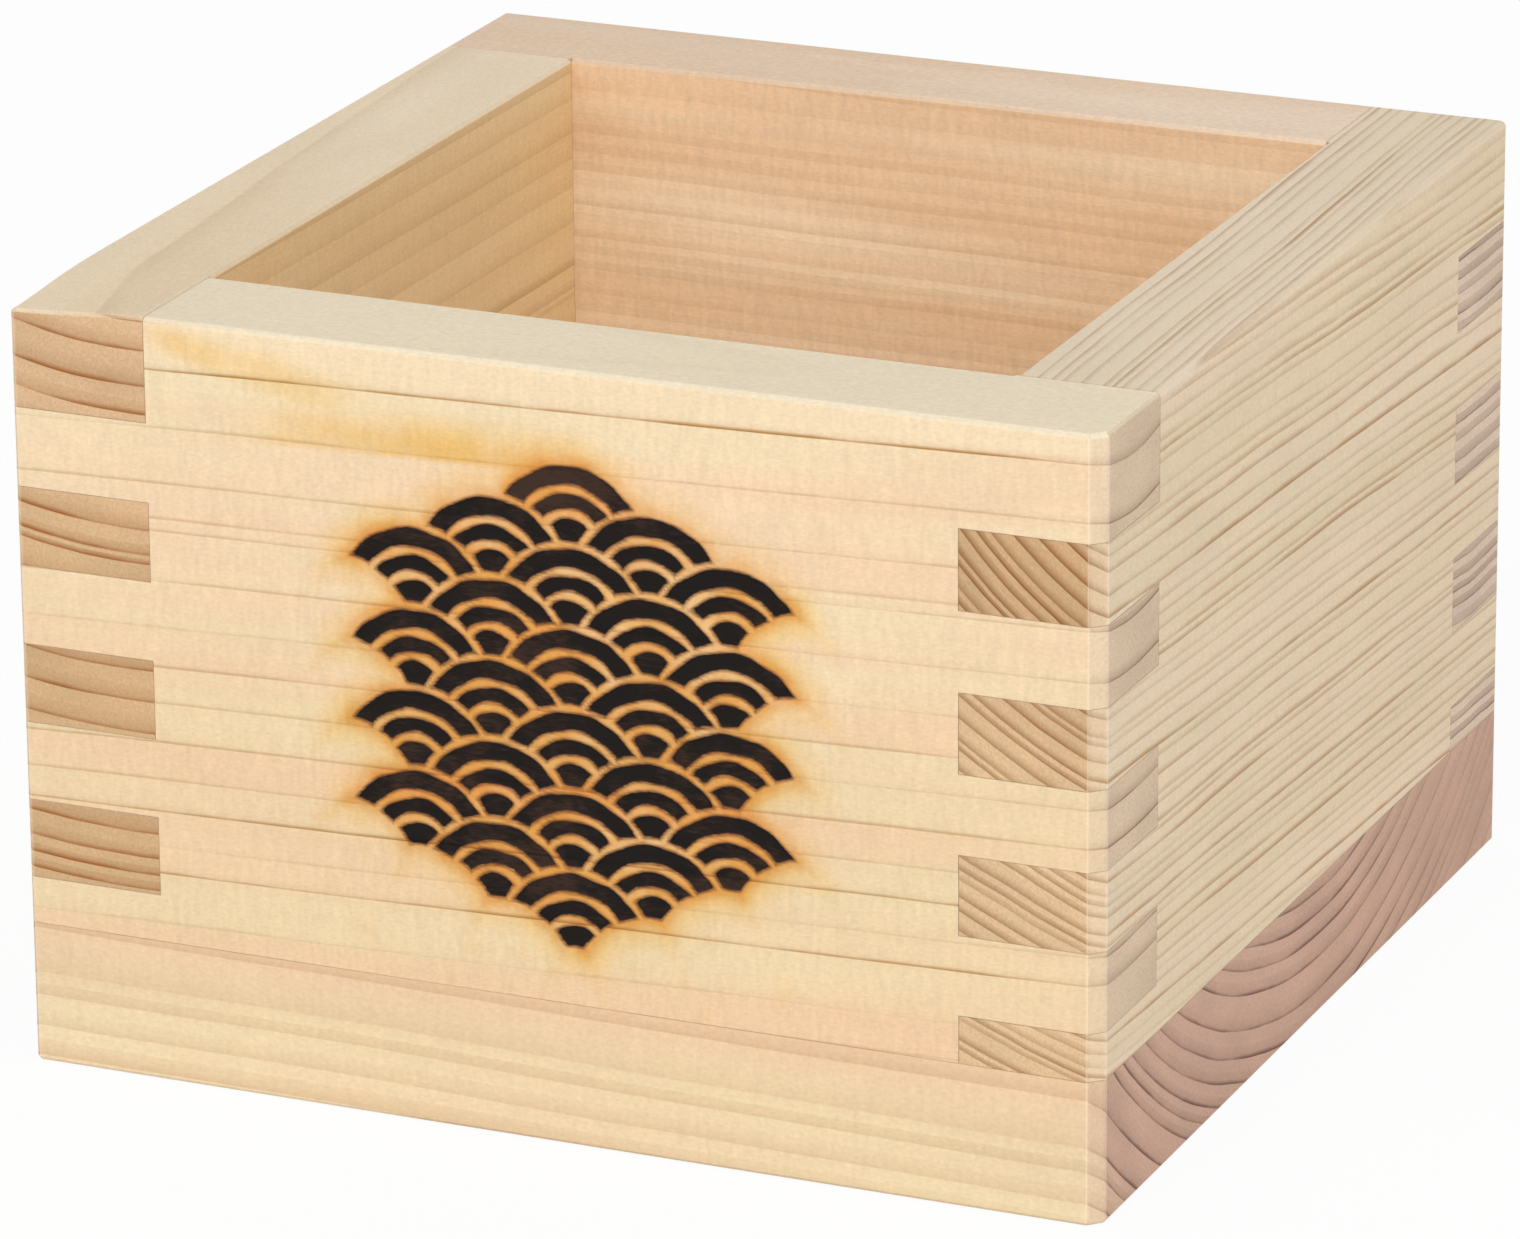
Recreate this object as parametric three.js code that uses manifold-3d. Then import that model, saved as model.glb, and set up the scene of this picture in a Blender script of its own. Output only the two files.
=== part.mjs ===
// A square wooden box cup for rice wine: four walls that lock together with fingers, glued on a bottom board.
// Millimetres, +Z up. The origin is the middle of the underside, and the front wall faces -Y.
import * as THREE from "three";
import { mergeVertices } from "three/addons/utils/BufferGeometryUtils.js";
import Module from "manifold-3d";

// Driving dimensions
const OUTER_WIDTH = 84; // across two opposite walls, the same both ways
const OUTER_HEIGHT = 58.4; // underside to rim
const WALL_THICKNESS = 10.7;
const BOTTOM_THICKNESS = 10.9;
const TOP_FINGER_HEIGHT = 7.9; // the finger at the rim is taller than the rest
const FINGER_HEIGHT = 6;
const GLUE_GAP = 0.05; // glue line between two boards
const DRINKING_CORNER_CUT = 1.06; // leg of the 45 degree cut down the front right corner
const CORNER_CUT = 0.3; // leg of the cut down the other three upright corners
const EDGE_CUT = 0.3; // leg of the small cut along the rim's and the underside's edges

// Sizes that follow from them
const CAVITY_WIDTH = OUTER_WIDTH - 2 * WALL_THICKNESS;
const WALL_HEIGHT = OUTER_HEIGHT - BOTTOM_THICKNESS - GLUE_GAP;

const QUARTER_TURN = Math.PI / 2;

const wasm = await Module();
wasm.setup();

// A closed three.js geometry as a solid that can be joined and cut
function solidOf(geometry) {
  const bare = geometry.clone();
  bare.deleteAttribute("normal");
  bare.deleteAttribute("uv");
  const merged = mergeVertices(bare);
  return new wasm.Manifold(
    new wasm.Mesh({
      numProp: 3,
      vertProperties: merged.attributes.position.array,
      triVerts: new Uint32Array(merged.index.array),
    }),
  );
}

// A solid as a three.js geometry with flat faces
function geometryOf(solid) {
  const { vertProperties, triVerts } = solid.getMesh();
  const indexed = new THREE.BufferGeometry();
  indexed.setAttribute("position", new THREE.BufferAttribute(vertProperties, 3));
  indexed.setIndex(new THREE.BufferAttribute(triVerts, 1));
  const flat = indexed.toNonIndexed();
  flat.computeVertexNormals();
  return flat;
}

// The block that the five boards fill together. Its upright corners are cut at 45 degrees, the front right
// one deeper than the rest, and the edges of its top and underside have a small cut all round.
function outerBlock() {
  const side = OUTER_WIDTH / 2;
  const cut = side - CORNER_CUT;
  const deepCut = side - DRINKING_CORNER_CUT;
  const plan = new THREE.Shape([
    new THREE.Vector2(side, -deepCut),
    new THREE.Vector2(side, cut),
    new THREE.Vector2(cut, side),
    new THREE.Vector2(-cut, side),
    new THREE.Vector2(-side, cut),
    new THREE.Vector2(-side, -cut),
    new THREE.Vector2(-cut, -side),
    new THREE.Vector2(deepCut, -side),
  ]);
  const block = new THREE.ExtrudeGeometry(plan, {
    depth: OUTER_HEIGHT - 2 * EDGE_CUT,
    bevelEnabled: true,
    bevelSegments: 1,
    bevelThickness: EDGE_CUT,
    bevelSize: EDGE_CUT,
    bevelOffset: -EDGE_CUT,
  });
  block.translate(0, 0, EDGE_CUT);
  return solidOf(block);
}

// The flare that cuts the rim's inner edges: a square funnel whose narrow end is the cavity's own width.
// It runs on above the rim at the same slope.
function cavityMouth() {
  const flareHeight = 2 * EDGE_CUT;
  const cornerRadius = (width) => width * Math.SQRT1_2;
  const mouth = new THREE.CylinderGeometry(
    cornerRadius(CAVITY_WIDTH + 2 * flareHeight),
    cornerRadius(CAVITY_WIDTH),
    flareHeight,
    4,
  );
  mouth.rotateX(QUARTER_TURN);
  mouth.rotateZ(QUARTER_TURN / 2);
  mouth.translate(0, 0, OUTER_HEIGHT);
  return solidOf(mouth);
}

// Depths below the rim where one finger ends and the next begins, with both edges of the wall.
// The lowest finger takes the height that is left, between half and one and a half of a finger.
function fingerDepths() {
  const lowerFingers = Math.max(1, Math.round((WALL_HEIGHT - TOP_FINGER_HEIGHT) / FINGER_HEIGHT));
  const depths = [0];
  for (let i = 0; i < lowerFingers; i++) {
    depths.push(TOP_FINGER_HEIGHT + i * FINGER_HEIGHT);
  }
  depths.push(WALL_HEIGHT);
  return depths;
}

// One end of a wall's outline, from the rim down. Fingers reach the outer face of the next wall, and the
// notches between them let that wall's own fingers through. Half the glue gap comes off each finger's edge.
function wallEnd(direction, rimHasFinger) {
  const depths = fingerDepths();
  const tip = OUTER_WIDTH / 2;
  const notch = CAVITY_WIDTH / 2 - GLUE_GAP;
  const isFinger = (place) => (place % 2 === 0) === rimHasFinger;
  const reach = (place) => direction * (isFinger(place) ? tip : notch);
  const points = [new THREE.Vector2(reach(0), OUTER_HEIGHT)];
  for (let place = 1; place < depths.length - 1; place++) {
    const shrink = isFinger(place) ? -GLUE_GAP / 2 : GLUE_GAP / 2;
    const height = OUTER_HEIGHT - depths[place] + shrink;
    points.push(new THREE.Vector2(reach(place - 1), height));
    points.push(new THREE.Vector2(reach(place), height));
  }
  const lastPlace = depths.length - 2;
  points.push(new THREE.Vector2(reach(lastPlace), OUTER_HEIGHT - WALL_HEIGHT));
  return points;
}

// A wall as it stands at the front: its right end has the finger at the rim, its left end the notch,
// so four of them, each a quarter turn on, lock into a ring. The block is turned back by as much, so that
// each wall gets the corners of its own place.
function wallSolid(place) {
  const rightEnd = wallEnd(1, true);
  const leftEnd = wallEnd(-1, false);
  const outline = new THREE.Shape([...rightEnd, ...leftEnd.reverse()]);
  const board = new THREE.ExtrudeGeometry(outline, { depth: WALL_THICKNESS, bevelEnabled: false });
  board.rotateX(QUARTER_TURN);
  board.translate(0, WALL_THICKNESS - OUTER_WIDTH / 2, 0);
  const block = outerBlock().rotate([0, 0, -90 * place]);
  return solidOf(board).intersect(block).subtract(cavityMouth());
}

// The bottom board is as wide as the cup, and the walls stand on it
function bottomSolid() {
  const board = new THREE.BoxGeometry(OUTER_WIDTH, OUTER_WIDTH, BOTTOM_THICKNESS);
  board.translate(0, 0, BOTTOM_THICKNESS / 2);
  return solidOf(board).intersect(outerBlock());
}

// Planed, unvarnished softwood. Only the tint differs from board to board.
function boardMesh(name, solid, tint) {
  const wood = new THREE.MeshStandardMaterial({ color: tint, roughness: 0.68, metalness: 0 });
  const mesh = new THREE.Mesh(geometryOf(solid), wood);
  mesh.name = name;
  return mesh;
}

// The walls in turning order from the front, counterclockwise seen from above
const WALLS = [
  { name: "front_wall", tint: 0xf6dcb2 },
  { name: "right_wall", tint: 0xd9c4a2 },
  { name: "back_wall", tint: 0xe6bb90 },
  { name: "left_wall", tint: 0xd8b98b },
];

const group = new THREE.Group();
WALLS.forEach(({ name, tint }, place) => {
  const side = new THREE.Group();
  side.rotation.z = place * QUARTER_TURN;
  side.add(boardMesh(name, wallSolid(place), tint));
  group.add(side);
});
group.add(boardMesh("bottom_board", bottomSolid(), 0xe9cc9a));

export default group;
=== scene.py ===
"""A one-serving wooden cup for rice wine: four boards locked together with fingers, glued on a fifth.

Lengths in the classes are millimetres. Meshes are laid down in metres in the part's own frame: +Z up, the
origin in the middle of the underside, the front wall facing -Y. Every board is worked out as the front
wall stands and then turned to its place: u runs along the board, w from its outer face inwards, z up.
"""
import logging
import math
from dataclasses import dataclass
from enum import Enum

import bpy
import numpy as np
from mathutils import Matrix, Vector


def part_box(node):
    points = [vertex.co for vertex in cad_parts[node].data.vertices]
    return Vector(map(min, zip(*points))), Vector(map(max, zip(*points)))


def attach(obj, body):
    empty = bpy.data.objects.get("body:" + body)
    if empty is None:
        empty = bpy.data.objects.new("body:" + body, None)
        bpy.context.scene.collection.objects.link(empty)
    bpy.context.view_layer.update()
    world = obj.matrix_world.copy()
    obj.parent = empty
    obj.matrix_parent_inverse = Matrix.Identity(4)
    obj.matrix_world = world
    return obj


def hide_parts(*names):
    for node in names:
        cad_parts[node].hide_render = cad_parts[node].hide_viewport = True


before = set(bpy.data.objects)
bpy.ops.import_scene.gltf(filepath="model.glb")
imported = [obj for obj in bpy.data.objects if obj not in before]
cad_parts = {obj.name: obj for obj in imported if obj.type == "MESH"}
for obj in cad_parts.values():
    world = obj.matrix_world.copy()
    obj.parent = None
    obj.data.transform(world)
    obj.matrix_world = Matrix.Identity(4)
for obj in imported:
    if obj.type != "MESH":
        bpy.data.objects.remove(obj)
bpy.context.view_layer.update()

MM = 0.001
QUARTER = math.pi / 2
TINY = 1e-4
SHARP_ANGLE = math.radians(50)
PLAIN = (1.0, 1.0, 1.0, 1.0)

# How far from an upright corner, an outer edge and a joint the grid has lines of its own
AT_CORNER = (0.5, 0.94, 1.0, 1.06, 1.12, 1.18, 1.3)
AT_EDGE = (0.1, 0.21, 0.26, 0.3, 0.34, 0.39, 0.5)
AT_JOINT = (0.012, 0.028, 0.06)

# How deep in the wood the cut of an upright corner fades out, and how many times depth counts as distance
CORNER_DEPTH = 3.0
DEPTH_SPREAD = 4.0

# How far from the borders of a cut the wood is pale, how pale it is between them and along rim and foot.
# The paleness is wear together with a painted highlight along the eased edges.
WEAR_AND_HIGHLIGHT_REACH = 0.13
WEAR_AND_HIGHLIGHT_BETWEEN = 0.2
EDGE_WEAR_AND_HIGHLIGHT = 0.4

# How far from a joint the wood is dark, and how far from a notch's floor its arris is looked for
JOINT_REACH = 0.06
NOTCH_REACH = 1.0

# A spread is the low and high end of what is read, then what they become
Pair = tuple[float, float]
Triple = tuple[float, float, float]
Colour = tuple[float, float, float, float]
Spread = tuple[float, float, float, float]
Arrays = tuple[np.ndarray, ...]

log = logging.getLogger("cup")


def tone(red: int, green: int, blue: int) -> Colour:
    """Turns a colour as it looks on a screen, 0 to 255, into the linear colour that shaders use.

    Args:
        red: red as seen.
        green: green as seen.
        blue: blue as seen.

    Returns:
        The linear colour with full alpha.
    """
    seen = np.array([red, green, blue]) / 255
    linear = np.where(seen <= 0.04045, seen / 12.92, ((seen + 0.055) / 1.055) ** 2.4)
    return (*linear.tolist(), 1.0)


class Side(Enum):
    """The four walls, each a quarter turn further on, counterclockwise seen from above."""

    FRONT = 0
    RIGHT = 1
    BACK = 2
    LEFT = 3


# The end of a wall whose upright corner is cut deeper: 1 is its right end seen from outside, -1 its left
DEEP_END = {Side.FRONT: 1, Side.RIGHT: -1}


@dataclass(frozen=True)
class Joinery:
    """The sizes that all five boards share, in millimetres."""

    half: float
    height: float
    wall: float
    bottom: float
    wall_low: float
    top_finger: float = 7.9
    finger: float = 6.0
    glue_gap: float = 0.012
    drinking_cut: float = 1.06
    corner_cut: float = 0.3
    edge_cut: float = 0.3
    arris: float = 0.02
    deep_softness: float = 0.1
    corner_softness: float = 0.08
    edge_softness: float = 0.08
    joint_softness: float = 0.008

    @classmethod
    def measured(cls) -> "Joinery":
        """Reads the outer sizes from the frame's boards.

        Returns:
            The joinery with the frame's own lengths.
        """
        low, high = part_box("front_wall")
        bottom = round(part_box("bottom_board")[1][2] / MM, 3)
        return cls(
            half=round(-low[1] / MM, 3),
            height=round(high[2] / MM, 3),
            wall=round((high[1] - low[1]) / MM, 3),
            bottom=bottom,
            wall_low=bottom + cls.glue_gap,
        )

    @property
    def cavity(self) -> float:
        """Half the width of the hollow."""
        return self.half - self.wall

    @property
    def notch(self) -> float:
        """Where the floor of a notch stands, measured from the wall's middle."""
        return self.cavity - self.glue_gap

    def finger_levels(self) -> np.ndarray:
        """Heights at which one finger ends and the next begins, from the rim down.

        Returns:
            The levels, with both edges of the wall.
        """
        below = np.arange(self.height - self.top_finger, self.wall_low + self.finger / 2, -self.finger)
        return np.concatenate([[self.height], below, [self.wall_low]])

    def finger_spans(self, end: int) -> np.ndarray:
        """The low and high edge of each finger at one end. Half the glue gap comes off each inner edge.

        Args:
            end: 1 for the right end seen from outside, which has the finger at the rim, -1 for the left end.

        Returns:
            One row per finger from the lowest up: low edge, high edge.
        """
        levels = self.finger_levels()
        spans = np.stack([levels[1:] + self.glue_gap / 2, levels[:-1] - self.glue_gap / 2], axis=1)
        spans[0, 1] = self.height
        spans[-1, 0] = self.wall_low
        return spans[(0 if end > 0 else 1) :: 2][::-1]

    def corner(self, deep: np.ndarray) -> Arrays:
        """How the upright corner near each point is cut.

        Args:
            deep: which points belong to the front right corner, which is cut deeper.

        Returns:
            The cut's leg and its softness.
        """
        cut = np.where(deep, self.drinking_cut, self.corner_cut)
        return cut, np.where(deep, self.deep_softness, self.corner_softness)


def eased(first: np.ndarray, second: np.ndarray, cut: np.ndarray | float, softness: float) -> np.ndarray:
    """How far a point near an edge moves away from both of the faces that meet there.

    The edge is cut at 45 degrees with legs of length cut. A point whose distances to the two faces add up
    to less than cut moves by half of what is missing. A parabola of width softness joins cut and face.

    Args:
        first: distances to one face.
        second: distances to the other face.
        cut: leg of the cut.
        softness: how far the cut fades into the faces.

    Returns:
        The move along each face's inward direction.
    """
    missing = cut - first - second
    blend = (missing + softness) ** 2 / (4 * softness)
    return np.where(missing > softness, missing, np.where(missing < -softness, 0.0, blend)) / 2


def corner_eased(
    first: np.ndarray, second: np.ndarray, cut: np.ndarray | float, softness: np.ndarray | float
) -> Arrays:
    """The move that cuts an upright corner, fading out deeper in the wood so that no points fall together.

    Args:
        first: distances to one face.
        second: distances to the other face.
        cut: leg of the cut.
        softness: how far the cut fades into the faces.

    Returns:
        The move along each face's inward direction, and the distance from the corner along the faces,
        to which a multiple of the depth is added, so that the pale wear and painted highlight stay on the
        surface.
    """
    depth = np.minimum(first, second)
    from_corner = np.abs(first - second)
    follow = np.clip(1 - depth / CORNER_DEPTH, 0, 1)
    return eased(from_corner, 0.0, cut, softness) * follow, from_corner + DEPTH_SPREAD * depth


def nearest_side(end: np.ndarray, outer: np.ndarray, cut: np.ndarray) -> Arrays:
    """The side surface that a point is nearest to: one of the two faces at a corner, or the cut between.

    Args:
        end: distances to one face.
        outer: distances to the other face.
        cut: leg of the cut.

    Returns:
        The distance, and how much of a move straight in from that surface goes along each face's inward
        direction.
    """
    nearer = np.minimum(end, outer)
    to_cut = np.maximum((end + outer - cut) / math.sqrt(2), 0)
    on_cut = to_cut <= nearer + TINY
    from_end = np.where(end < outer, 1.0, 0.0)
    pull_end = np.where(on_cut, math.sqrt(0.5), from_end)
    return np.minimum(nearer, to_cut), pull_end, np.where(on_cut, math.sqrt(0.5), 1 - from_end)


def worn(gap: np.ndarray, cut: float) -> np.ndarray:
    """How pale an eased edge is: most along both borders of the cut, less between them.

    The paleness is partly wear and partly a painted highlight, where light would catch the edge.

    Args:
        gap: sum of the distances to the two faces that meet there.
        cut: leg of the cut.

    Returns:
        0 away from the edge, 1 on the cut's borders.
    """
    border = np.clip(1 - np.abs(gap - cut) / WEAR_AND_HIGHLIGHT_REACH, 0, 1)
    return np.maximum(border, np.where(gap < cut, WEAR_AND_HIGHLIGHT_BETWEEN, 0.0))


def lines_between(low: float, high: float, pitch: float, stops: dict[float, tuple[float, ...]]) -> np.ndarray:
    """Grid lines from low to high: each stop with its offsets to both sides, and even lines between them.

    Args:
        low: first line.
        high: last line.
        pitch: widest gap that is left.
        stops: position of each edge, and the distances from it at which lines are wanted.

    Returns:
        The sorted positions.
    """
    wanted = [low, high]
    for place, offsets in stops.items():
        wanted.extend(place + sign * offset for offset in (0.0, *offsets) for sign in (-1, 1))
    marks = np.unique(np.round([p for p in wanted if low - TINY < p < high + TINY], 4))
    filled = [
        np.linspace(start, end, max(1, math.ceil((end - start) / pitch)), endpoint=False)
        for start, end in zip(marks[:-1], marks[1:])
    ]
    return np.concatenate([*filled, [high]])


@dataclass
class Skin:
    """A closed surface: its points, and the corners of its faces one after another."""

    points: np.ndarray
    corners: np.ndarray
    starts: np.ndarray


def block_skin(lines: Arrays, filled: np.ndarray, fold: np.ndarray | None = None) -> Skin:
    """The skin of a solid made of the filled cells of a grid.

    Wherever a filled cell meets an empty one lies a four-sided face, wound so that it looks outwards. With
    fold, a grid point may stand in for others, and faces that shrink to a line are left out.

    Args:
        lines: grid lines along u, w and z.
        filled: one truth value per cell.
        fold: for each grid point, flattened, the grid point that stands in for it.

    Returns:
        The closed skin.
    """
    shape = tuple(len(line) for line in lines)
    padded = np.pad(filled, 1)
    inner = padded[1:-1, 1:-1, 1:-1]
    quads = []
    for axis in range(3):
        across = ((axis + 1) % 3, (axis + 2) % 3)
        for step in (1, -1):
            beyond = np.roll(padded, -step, axis=axis)[1:-1, 1:-1, 1:-1]
            cells = np.argwhere(inner & ~beyond)
            turn = ((0, 0), (1, 0), (1, 1), (0, 1))[::step]
            corner_points = []
            for a, b in turn:
                corner = cells.copy()
                corner[:, axis] += 1 if step > 0 else 0
                corner[:, across[0]] += a
                corner[:, across[1]] += b
                corner_points.append(np.ravel_multi_index(corner.T, shape))
            quads.append(np.stack(corner_points, axis=1))
    quads = np.concatenate(quads)
    if fold is not None:
        quads = fold[quads]
    kept = quads != np.roll(quads, 1, axis=1)
    whole = kept.sum(axis=1) >= 3
    quads, kept = quads[whole], kept[whole]
    used, corners = np.unique(quads[kept], return_inverse=True)
    counts = kept.sum(axis=1)
    place = np.unravel_index(used, shape)
    points = np.stack([line[index] for line, index in zip(lines, place)], axis=1)
    return Skin(points, corners.ravel(), np.concatenate([[0], np.cumsum(counts)[:-1]]))


def turned(points: np.ndarray, turns: int) -> np.ndarray:
    """Turns points about the upright axis by a number of quarter turns.

    Args:
        points: rows of u, w, z.
        turns: quarter turns, counterclockwise from above.

    Returns:
        The turned rows.
    """
    x, y, z = points.T
    for _ in range(turns):
        x, y = -y, x
    return np.stack([x, y, z], axis=1)


def lay_mesh(name: str, skin: Skin, marks: dict[str, np.ndarray]) -> bpy.types.Object:
    """Puts a skin into the scene in metres, smooth but for its sharp edges.

    Args:
        name: the piece's name.
        skin: the closed surface in millimetres.
        marks: one number per point under each attribute's name.

    Returns:
        The new object.
    """
    mesh = bpy.data.meshes.new(name)
    mesh.vertices.add(len(skin.points))
    mesh.vertices.foreach_set("co", (skin.points * MM).astype(np.float32).ravel())
    mesh.loops.add(len(skin.corners))
    mesh.loops.foreach_set("vertex_index", skin.corners.astype(np.int32))
    mesh.polygons.add(len(skin.starts))
    mesh.polygons.foreach_set("loop_start", skin.starts.astype(np.int32))
    mesh.update(calc_edges=True)
    for mark, numbers in marks.items():
        attribute = mesh.attributes.new(mark, "FLOAT", "POINT")
        attribute.data.foreach_set("value", numbers.astype(np.float32))
    mesh.set_sharp_from_angle(angle=SHARP_ANGLE)
    mesh.validate()
    piece = bpy.data.objects.new(name, mesh)
    bpy.context.scene.collection.objects.link(piece)
    return piece


@dataclass(frozen=True)
class WaveMark:
    """The burnt ornament on the front wall: rows of overlapping wave scales, the old wave-crest pattern.

    Each scale is a disc whose lower part is hidden by the discs of the two rows below. It shows a rim
    band, a middle band and a solid heart, with a clear line between neighbours. The bands' edges wobble
    by a sum of sine waves, each with a size, a pace along the wall, a pace upwards and a start.
    """

    centre: Pair = (1.8, 33.3)
    scale_radius: float = 6.1
    row_counts: tuple[int, ...] = (1, 2, 3, 2, 3, 2, 3, 2, 3, 2, 1)
    bands: tuple[Pair, ...] = ((4.5, 5.78), (2.75, 3.75), (-1.0, 1.95))
    clear_line: float = 0.34
    depth: float = 0.16
    rim_softness: float = 0.2
    reach: float = 3.2
    wobbles: tuple[tuple[float, ...], ...] = ((0.05, 1.9, 0.7, 0.0), (0.04, -1.3, 2.7, 1.0))

    def scale_centres(self) -> list[Pair]:
        """The middle of each scale, row by row upwards; each next row is half a radius higher.

        Returns:
            Places relative to the mark's own middle.
        """
        radius = self.scale_radius
        rise = radius / 2
        base = -(rise * (len(self.row_counts) - 1) + radius) / 2
        return [
            (2 * radius * (place - (count - 1) / 2), base + row * rise)
            for row, count in enumerate(self.row_counts)
            for place in range(count)
        ]

    def half_size(self) -> float:
        """Half the side of the square that holds the mark and its scorched surround."""
        return self.scale_radius * max(self.row_counts) + self.reach

    def distance(self, u: np.ndarray, z: np.ndarray) -> np.ndarray:
        """Distance to the nearest burnt band, negative inside one.

        For a scale: distance to a band is how far the point's distance from the scale's middle lies
        outside the band's radii; a point under a neighbour's disc counts as outside. The nearest of all.

        Args:
            u: places along the wall.
            z: heights.

        Returns:
            One signed distance per point, no larger than the reach.
        """
        radius = self.scale_radius
        wobble = sum(size * np.sin(along * u + up * z + start) for size, along, up, start in self.wobbles)
        nearest = np.full(u.shape, self.reach)
        for middle_u, middle_z in self.scale_centres():
            du = u - self.centre[0] - middle_u
            dz = z - self.centre[1] - middle_z
            out = np.hypot(du, dz)
            hidden = np.full(u.shape, -np.inf)
            for step_u, step_z in ((radius, -radius / 2), (-radius, -radius / 2), (0.0, -radius)):
                cover = radius + self.clear_line - np.hypot(du - step_u, dz - step_z)
                hidden = np.maximum(hidden, cover)
            for inner, outer in self.bands:
                band = np.maximum(inner - out, out - outer)
                nearest = np.minimum(nearest, np.maximum(band, hidden))
        return np.minimum(nearest + wobble, self.reach)

    def pressed(self, distance: np.ndarray) -> np.ndarray:
        """How deep the surface is pressed in: full depth inside a band, rising smoothly at its edge."""
        level = np.clip(0.5 - distance / self.rim_softness, 0, 1)
        return self.depth * level * level * (3 - 2 * level)


@dataclass
class Wall:
    """One side of the cup: a board with fingers at both ends, as it stands at the front."""

    side: Side
    joinery: Joinery
    mark: WaveMark | None = None
    pitch: float = 2.5
    fine_pitch: float = 0.21
    sanded_depth: float = 0.55
    sanded_reach: float = 6.5

    @property
    def node(self) -> str:
        """The frame's board that this wall stands for."""
        return self.side.name.lower() + "_wall"

    def grid(self) -> Arrays:
        """Grid lines along u, w and z, closer together where an edge is eased.

        Returns:
            The three sets of lines.
        """
        j = self.joinery
        at_levels = {
            level + sign * j.glue_gap / 2: AT_JOINT for level in j.finger_levels()[1:-1] for sign in (-1, 1)
        }
        at_ends = (*AT_EDGE, *AT_CORNER)
        along = {-j.half: at_ends, -j.notch: AT_JOINT, j.notch: AT_JOINT, j.half: at_ends}
        through = {-j.half: (*AT_JOINT, *at_ends), -j.cavity: (*AT_JOINT, *AT_EDGE)}
        upward = {j.height: AT_EDGE, j.wall_low: AT_JOINT, **at_levels}
        if self.mark:
            half = self.mark.half_size()
            for stops, middle in zip((along, upward), self.mark.centre):
                stops.update({middle - half: (), middle + half: ()})
        return (
            lines_between(-j.half, j.half, self.pitch, along),
            lines_between(-j.half, -j.cavity, self.pitch, through),
            lines_between(j.wall_low, j.height, self.pitch, upward),
        )

    def filled_cells(self, lines: Arrays) -> np.ndarray:
        """Which cells are wood: all between the notches, and at each end only the fingers.

        Args:
            lines: grid lines along u, w and z.

        Returns:
            One truth value per cell.
        """
        j = self.joinery
        u, _, z = ((line[1:] + line[:-1]) / 2 for line in lines)
        wood = np.repeat((np.abs(u) < j.notch)[:, None], len(z), axis=1)
        for sign in (1, -1):
            for low, high in j.finger_spans(sign):
                wood |= (sign * u > j.notch)[:, None] & ((z > low) & (z < high))[None, :]
        return np.repeat(wood[:, None, :], len(lines[1]) - 1, axis=1)

    def with_fine_square(self, lines: Arrays) -> tuple[Arrays, np.ndarray]:
        """Adds close lines over the mark and folds them together everywhere but on the mark's own square.

        Args:
            lines: the plain grid lines.

        Returns:
            The grid with the close lines, and for each grid point the one that stands in for it.
        """
        half = self.mark.half_size()
        finer = list(lines)
        snap = [np.arange(len(line)) for line in lines]
        inside = [np.ones(len(line), bool) for line in lines]
        for axis, middle in zip((0, 2), self.mark.centre):
            close = np.linspace(middle - half, middle + half, round(2 * half / self.fine_pitch) + 1)
            coarse = np.round(lines[axis], 4)
            line = np.unique(np.round(np.concatenate([lines[axis], close]), 4))
            nearest = np.abs(line[:, None] - coarse[None, :]).argmin(axis=1)
            snap[axis] = np.searchsorted(line, coarse)[nearest]
            inside[axis] = np.abs(line - middle) < half + TINY
            finer[axis] = line
        shape = tuple(len(line) for line in finer)
        i, j, k = np.indices(shape)
        on_square = inside[0][i] & (j == 0) & inside[2][k]
        folded_i = np.where(on_square, i, snap[0][i])
        folded_k = np.where(on_square, k, snap[2][k])
        fold = np.ravel_multi_index((folded_i.ravel(), j.ravel(), folded_k.ravel()), shape)
        return tuple(finer), fold

    def joints(self, u: np.ndarray, z: np.ndarray) -> Arrays:
        """Distances up and down to the joints above and below each point; the rim is no joint.

        Args:
            u: places along the wall.
            z: heights.

        Returns:
            The distance to the joint above and to the one below.
        """
        j = self.joinery
        above = np.full(len(u), np.inf)
        below = z - j.wall_low
        for sign in (1, -1):
            for low, high in j.finger_spans(sign):
                here = (sign * u > j.notch + TINY) & (z > low - TINY) & (z < high + TINY)
                above = np.where(here & (high < j.height - TINY), high - z, above)
                below = np.where(here & (low > j.wall_low + TINY), z - low, below)
        return above, below

    def shaped(self, points: np.ndarray) -> Arrays:
        """Eases the edges: the upright corners, the rim, and a hair off every arris along a joint.

        Args:
            points: rows of u, w, z on the square-edged board.

        Returns:
            The moved rows, how close each point is to a joint, and how pale it is at an outer edge from wear
            and a painted highlight, 0 to 1.
        """
        j = self.joinery
        u, w, z = points.T.copy()
        sign = np.sign(u)
        reach = np.abs(u)
        from_end, from_face, from_inside = j.half - reach, w + j.half, -j.cavity - w
        in_finger = reach > j.notch + TINY
        above, below = self.joints(u, z)

        # The upright outer corner
        cut, softness = j.corner(sign * DEEP_END.get(self.side, 0) > 0)
        move, corner_gap = corner_eased(from_end, from_face, cut, softness)
        move = np.where(in_finger, move, 0)
        reach, w = reach - move, w + move

        # The side surface that each point is nearest to
        end, outer = j.half - reach, w + j.half
        gap, pull_u, pull_w = nearest_side(end, outer, cut)
        side_gap = np.where(in_finger, gap, outer)
        pull_u = np.where(in_finger, pull_u, 0.0)
        pull_w = np.where(in_finger, pull_w, 1.0)

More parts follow.
